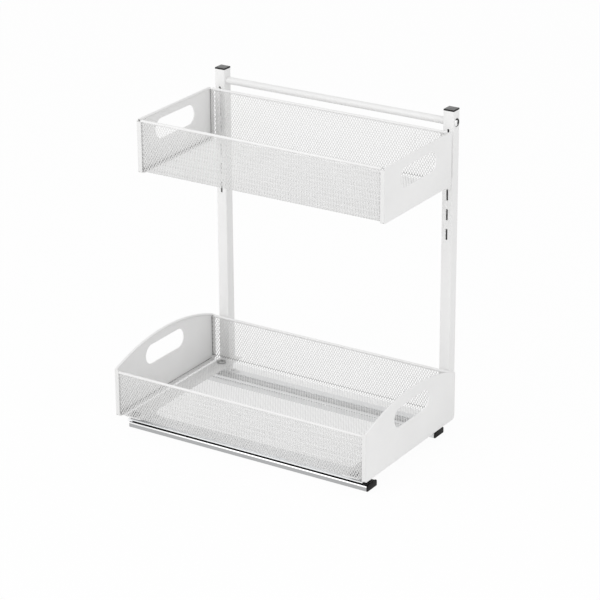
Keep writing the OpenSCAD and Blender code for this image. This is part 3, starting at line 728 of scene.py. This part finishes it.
def slottedPost(side):
    # front plate with its slots, folded back into a square tube
    bm = bmesh.new()
    x0, x1, y = post["inner"], post["outer"], post["front"]
    outline(bm, [(x0, y, post["bottom"]), (x1, y, post["bottom"]), (x1, y, post["top"]), (x0, y, post["top"])])
    xc, half, long = (x0 + x1) / 2, post["slotWidth"] / 2, post["slotLength"] / 2
    for z in post["slots"]:
        outline(bm, [(xc - half, y, z * mm - long), (xc + half, y, z * mm - long),
                     (xc + half, y, z * mm + long), (xc - half, y, z * mm + long)],
                [half * post["slotRound"]] * 4, 4)
    fillLoops(bm)
    sides = [e for e in bm.edges if e.is_boundary and abs(e.verts[0].co.x - e.verts[1].co.x) < 1e-9
             and e.calc_length() > post["longEdge"]]
    back = bmesh.ops.extrude_edge_only(bm, edges=sides)["geom"]
    bmesh.ops.translate(bm, vec=(0, post["rear"] - y, 0), verts=vertsOf(back))
    rearEdges = [e for e in openEdges(back) if e.calc_length() > post["longEdge"]]
    bmesh.ops.contextual_create(bm, geom=rearEdges)
    corners = [e for e in bm.edges if e.calc_length() > post["longEdge"] and e.is_manifold]
    roundEdges(bm, corners, post["corner"], 4)
    if side < 0:
        bmesh.ops.scale(bm, vec=(-1, 1, 1), verts=bm.verts[:])
    bmesh.ops.recalc_face_normals(bm, faces=bm.faces[:])
    middle = Vector((side * xc, (y + post["rear"]) / 2, 0))
    outwards = sum((f.calc_center_median() - middle).dot(f.normal) * f.calc_area()
                   for f in bm.faces if abs(f.normal.z) < 0.5)
    if outwards < 0:
        bmesh.ops.reverse_faces(bm, faces=bm.faces[:])
    shadeRound(bm)
    hand = handOf(side)
    keep(bm, hand + "Post", "carriage", coatedSheet, [hand + "_post"],
         sheet=post["wall"], fold=post["edge"])


cap = {
    "size": 15 * mm, "thick": 2 * mm, "bottom": 433 * mm, "corner": 0.7 * mm, "crown": 0.8 * mm,
    "plug": 12.4 * mm, "plugDepth": 10 * mm, "plugEdge": 0.6 * mm, "wall": 1.6 * mm, "base": 1.5 * mm,
}


def postCap(side):
    # a flat lid with a hollow plug that sits in the tube
    bm = bmesh.new()
    xc, yc = side * (post["inner"] + post["outer"]) / 2, (post["front"] + post["rear"]) / 2
    h = cap["size"] / 2
    block(bm, (xc - h, yc - h, cap["bottom"]), (xc + h, yc + h, cap["bottom"] + cap["thick"]))
    bm.normal_update()
    upright = [e for e in bm.edges if abs(e.verts[0].co.z - e.verts[1].co.z) > mm]
    roundEdges(bm, upright, cap["corner"], 4)
    crown = [e for e in bm.edges if all(v.co.z > cap["bottom"] + cap["thick"] - 1e-7 for v in e.verts)]
    roundEdges(bm, crown, cap["crown"], 3)
    p = cap["plug"] / 2
    shell = bmesh.new()
    block(shell, (xc - p, yc - p, cap["bottom"] - cap["plugDepth"]), (xc + p, yc + p, cap["bottom"]))
    softEdges(shell, cap["plugEdge"])
    under = [f for f in shell.faces if f.normal.z < -0.9]
    bmesh.ops.inset_region(shell, faces=under, thickness=cap["wall"])
    deep = max((f for f in shell.faces if f.normal.z < -0.9), key=lambda f: f.calc_area())
    bmesh.ops.translate(shell, vec=(0, 0, cap["plugDepth"] - cap["base"]), verts=list(deep.verts))
    pour(shell, bm)
    shadeRound(bm)
    hand = handOf(side)
    keep(bm, hand + "PostCap", "carriage", capPlastic, [hand + "_post_cap"])


for side in (-1, 1):
    slottedPost(side)
    postCap(side)
print("posts made")


floorScrew = {
    "head": 11.5 * mm, "height": 2 * mm, "edge": 0.9 * mm, "key": 4 * mm, "keyDepth": 0.9 * mm,
    "shaft": 4.9 * mm, "length": 5 * mm,
    "x": 166.5 * mm, "y": (-108.7 * mm, 90.7 * mm), "z": 21.7 * mm,
}
barScrew = {
    "head": 10.4 * mm, "height": 1.2 * mm, "edge": 0.5 * mm, "key": 4 * mm, "keyDepth": 0.5 * mm,
    "shaft": 4.9 * mm, "length": 32 * mm,
    "x": 179 * mm, "y": 113 * mm, "z": 417.5 * mm,
}


def headScrew(bm, screw):
    # a low round head with a hexagon socket, along +Z, its seat at the origin
    head = bmesh.ops.create_cone(bm, cap_ends=True, radius1=screw["head"] / 2, radius2=screw["head"] / 2,
                                 depth=screw["height"], segments=32)["verts"]
    bmesh.ops.translate(bm, vec=(0, 0, screw["height"] / 2), verts=head)
    bm.normal_update()
    topEdges = [e for e in bm.edges if isSharp(e) and all(v.co.z > mm for v in e.verts)]
    roundEdges(bm, topEdges, screw["edge"], 4)
    face = max((f for f in bm.faces if f.normal.z > 0.9), key=lambda f: f.calc_area())
    ring = face.edges[:]
    bmesh.ops.delete(bm, geom=[face], context="FACES_ONLY")
    key = bmesh.ops.create_circle(bm, cap_ends=False, radius=screw["key"] / 2, segments=6)["verts"]
    bmesh.ops.translate(bm, vec=(0, 0, screw["height"]), verts=key)
    hexEdges = [e for e in bm.edges if e.verts[0] in key and e.verts[1] in key]
    bmesh.ops.triangle_fill(bm, use_beauty=True, edges=ring + hexEdges)
    walls = bmesh.ops.extrude_edge_only(bm, edges=hexEdges)["geom"]
    bmesh.ops.translate(bm, vec=(0, 0, -screw["keyDepth"]), verts=vertsOf(walls))
    bmesh.ops.contextual_create(bm, geom=openEdges(walls))
    shaft = bmesh.ops.create_cone(bm, cap_ends=True, radius1=screw["shaft"] / 2, radius2=screw["shaft"] / 2,
                                  depth=screw["length"], segments=16)["verts"]
    bmesh.ops.translate(bm, vec=(0, 0, -screw["length"] / 2), verts=shaft)
    bmesh.ops.recalc_face_normals(bm, faces=bm.faces[:])
    return bm.verts[:]


def screwSet(name, node, screw, places, material):
    bm = bmesh.new()
    for where in places:
        one = bmesh.new()
        verts = headScrew(one, screw)
        bmesh.ops.transform(one, matrix=where, verts=verts)
        pour(one, bm)
    shadeRound(bm)
    keep(bm, name, "carriage", material, [node])


floorSpots = [Matrix.Translation((sx * floorScrew["x"], y, floorScrew["z"]))
              for sx in (-1, 1) for y in floorScrew["y"]]
barSpots = [Matrix.Translation((sx * barScrew["x"], barScrew["y"], barScrew["z"]))
            @ Matrix.Rotation(math.radians(90 * sx), 4, "Y") for sx in (-1, 1)]
screwSet("floorScrews", "floor_screws", floorScrew, floorSpots, floorScrewShadeSteel)
screwSet("crossbarScrews", "crossbar_screws", barScrew, barSpots, barScrewSteel)


balls = {
    "radius": 1.8 * mm, "count": 8, "pitch": 14 * mm, "aside": 8.5 * mm, "height": 3.9 * mm,
    "front": (-55.4 * mm, -95.5 * mm),         # x of the cage's start, and y of the slide's axis
    "rear": (-60.9 * mm, 83 * mm),
}


def ballRow(place):
    # the balls on both sides of one slide
    bm = bmesh.new()
    x, y = balls[place]
    for sy in (-1, 1):
        for k in range(balls["count"]):
            ball = bmesh.ops.create_uvsphere(bm, u_segments=16, v_segments=10, radius=balls["radius"])["verts"]
            spot = (x + (k + 0.5) * balls["pitch"], y + sy * balls["aside"], balls["height"])
            bmesh.ops.translate(bm, vec=spot, verts=ball)
    shadeRound(bm, 60)
    keep(bm, place + "Balls", place + "_ball_row", ballSteel, [place + "_balls"])


ballRow("front")
ballRow("rear")
print("screws and balls made")


# each keeps its CAD shape; the last value is the width of its eased edges
for end in ("front", "rear"):
    softened(end + "_outer_rail", "fixed_rails", railZinc[end], 0.15 * mm)
    softened(end + "_rail_bumper", "fixed_rails", bumperPlastic, 0.35 * mm)
    softened(end + "_inner_rail", "carriage", shadedRunnerZinc[end], 0.12 * mm)
    softened(end + "_top_strip", "carriage", stripZinc[end], 0.25 * mm)
    softened(end + "_ball_cage", end + "_ball_row", cageSteel, 0.06 * mm)
for hand in ("left", "right"):
    softened(hand + "_cross_plate", "carriage", plateCoat, 0.25 * mm)
    softened(hand + "_hook_bracket", "upper_basket", coatedSheet, 0.25 * mm)
softened("crossbar", "carriage", barCoat, 0.2 * mm)
softened("crossbar_inserts", "carriage", screwSteel, 0.2 * mm)
softened("rail_rivets", "carriage", screwSteel, 0.4 * mm)
softened("post_foot_plugs", "carriage", plugPlastic, 0.3 * mm)
softened("post_foot_screws", "carriage", screwSteel, 0.3 * mm)
print("hardware dressed")


studio = {
    "floor": 0.92, "floorRough": 0.9, "floorHalf": 12, "floorGlow": 0.95,
    "sky": 0.69,
    "aim": (0, 0, 0.2),
    "key": (-1.1, -2.2, 1.9), "keySize": 2.2, "keyPower": 29,
    "fill": (2.2, -0.8, 1.2), "fillSize": 1.8, "fillPower": 10,
}


def whiteToCamera(tree, shader, share):
    # adds white for the camera and for what mirrors and glass see, and keeps the shader's own light otherwise
    path = tree.nodes.new("ShaderNodeLightPath")
    glow = tree.nodes.new("ShaderNodeEmission")
    glow.inputs["Color"].default_value = (1, 1, 1, 1)
    glow.inputs["Strength"].default_value = 1
    seen = path.outputs["Is Camera Ray"]
    for ray in ("Is Glossy Ray", "Is Transmission Ray"):
        either = tree.nodes.new("ShaderNodeMath")
        either.operation = "MAXIMUM"
        tree.links.new(seen, either.inputs[0])
        tree.links.new(path.outputs[ray], either.inputs[1])
        seen = either.outputs[0]
    part = tree.nodes.new("ShaderNodeMath")
    part.operation = "MULTIPLY"
    part.inputs[1].default_value = share
    tree.links.new(seen, part.inputs[0])
    mix = tree.nodes.new("ShaderNodeMixShader")
    tree.links.new(part.outputs[0], mix.inputs[0])
    tree.links.new(shader, mix.inputs[1])
    tree.links.new(glow.outputs[0], mix.inputs[2])
    return mix.outputs[0]


def makeFloor():
    bm = bmesh.new()
    bmesh.ops.create_grid(bm, x_segments=1, y_segments=1, size=studio["floorHalf"])
    mesh = bpy.data.meshes.new("StudioFloor")
    bm.to_mesh(mesh)
    bm.free()
    floor = bpy.data.objects.new("StudioFloor", mesh)
    bpy.context.scene.collection.objects.link(floor)
    material = bpy.data.materials.new("PaleFloor")
    material.use_nodes = True
    tree = material.node_tree
    shader = tree.nodes["Principled BSDF"]
    shader.inputs["Base Color"].default_value = grey(studio["floor"])
    shader.inputs["Roughness"].default_value = studio["floorRough"]
    out = tree.nodes["Material Output"]
    tree.links.new(whiteToCamera(tree, shader.outputs[0], studio["floorGlow"]), out.inputs["Surface"])
    mesh.materials.append(material)


def makeSky():
    world = bpy.data.worlds.new("StudioSky")
    bpy.context.scene.world = world
    world.use_nodes = True
    tree = world.node_tree
    back = tree.nodes["Background"]
    back.inputs["Color"].default_value = (1, 1, 1, 1)
    back.inputs["Strength"].default_value = studio["sky"]
    tree.links.new(whiteToCamera(tree, back.outputs[0], 1.0), tree.nodes["World Output"].inputs["Surface"])


def lamp(name, where, size, power):
    data = bpy.data.lights.new(name, "AREA")
    data.shape = "SQUARE"
    data.size = size
    data.energy = power
    item = bpy.data.objects.new(name, data)
    item.location = where
    item.rotation_mode = "QUATERNION"
    item.rotation_quaternion = (Vector(studio["aim"]) - Vector(where)).to_track_quat("-Z", "Y")
    bpy.context.scene.collection.objects.link(item)


photoCamera = {
    "place": (1.60106, -2.48101, 1.37977),
    "azimuth": 32.53, "elevation": 22.11, "roll": -0.34,
    "lens": 149.48, "sensor": 36.0, "near": 0.05, "far": 50,
}


def makeCamera():
    # the camera fitted to the photo's corners
    a, e, r = (math.radians(photoCamera[k]) for k in ("azimuth", "elevation", "roll"))
    back = Vector((math.sin(a) * math.cos(e), -math.cos(a) * math.cos(e), math.sin(e)))
    level = Vector((math.cos(a), math.sin(a), 0))
    upright = back.cross(level)
    right = level * math.cos(r) + upright * math.sin(r)
    up = upright * math.cos(r) - level * math.sin(r)
    data = bpy.data.cameras.new("PhotoCamera")
    data.lens = photoCamera["lens"]
    data.sensor_width = photoCamera["sensor"]
    data.clip_start, data.clip_end = photoCamera["near"], photoCamera["far"]
    item = bpy.data.objects.new("PhotoCamera", data)
    turn = Matrix((right, up, back)).transposed().to_4x4()
    item.matrix_world = Matrix.Translation(photoCamera["place"]) @ turn
    bpy.context.scene.collection.objects.link(item)
    bpy.context.scene.camera = item


makeFloor()
makeSky()
lamp("KeyLamp", studio["key"], studio["keySize"], studio["keyPower"])
lamp("FillLamp", studio["fill"], studio["fillSize"], studio["fillPower"])
makeCamera()
bpy.context.scene.view_settings.view_transform = "Standard"
print("studio made")
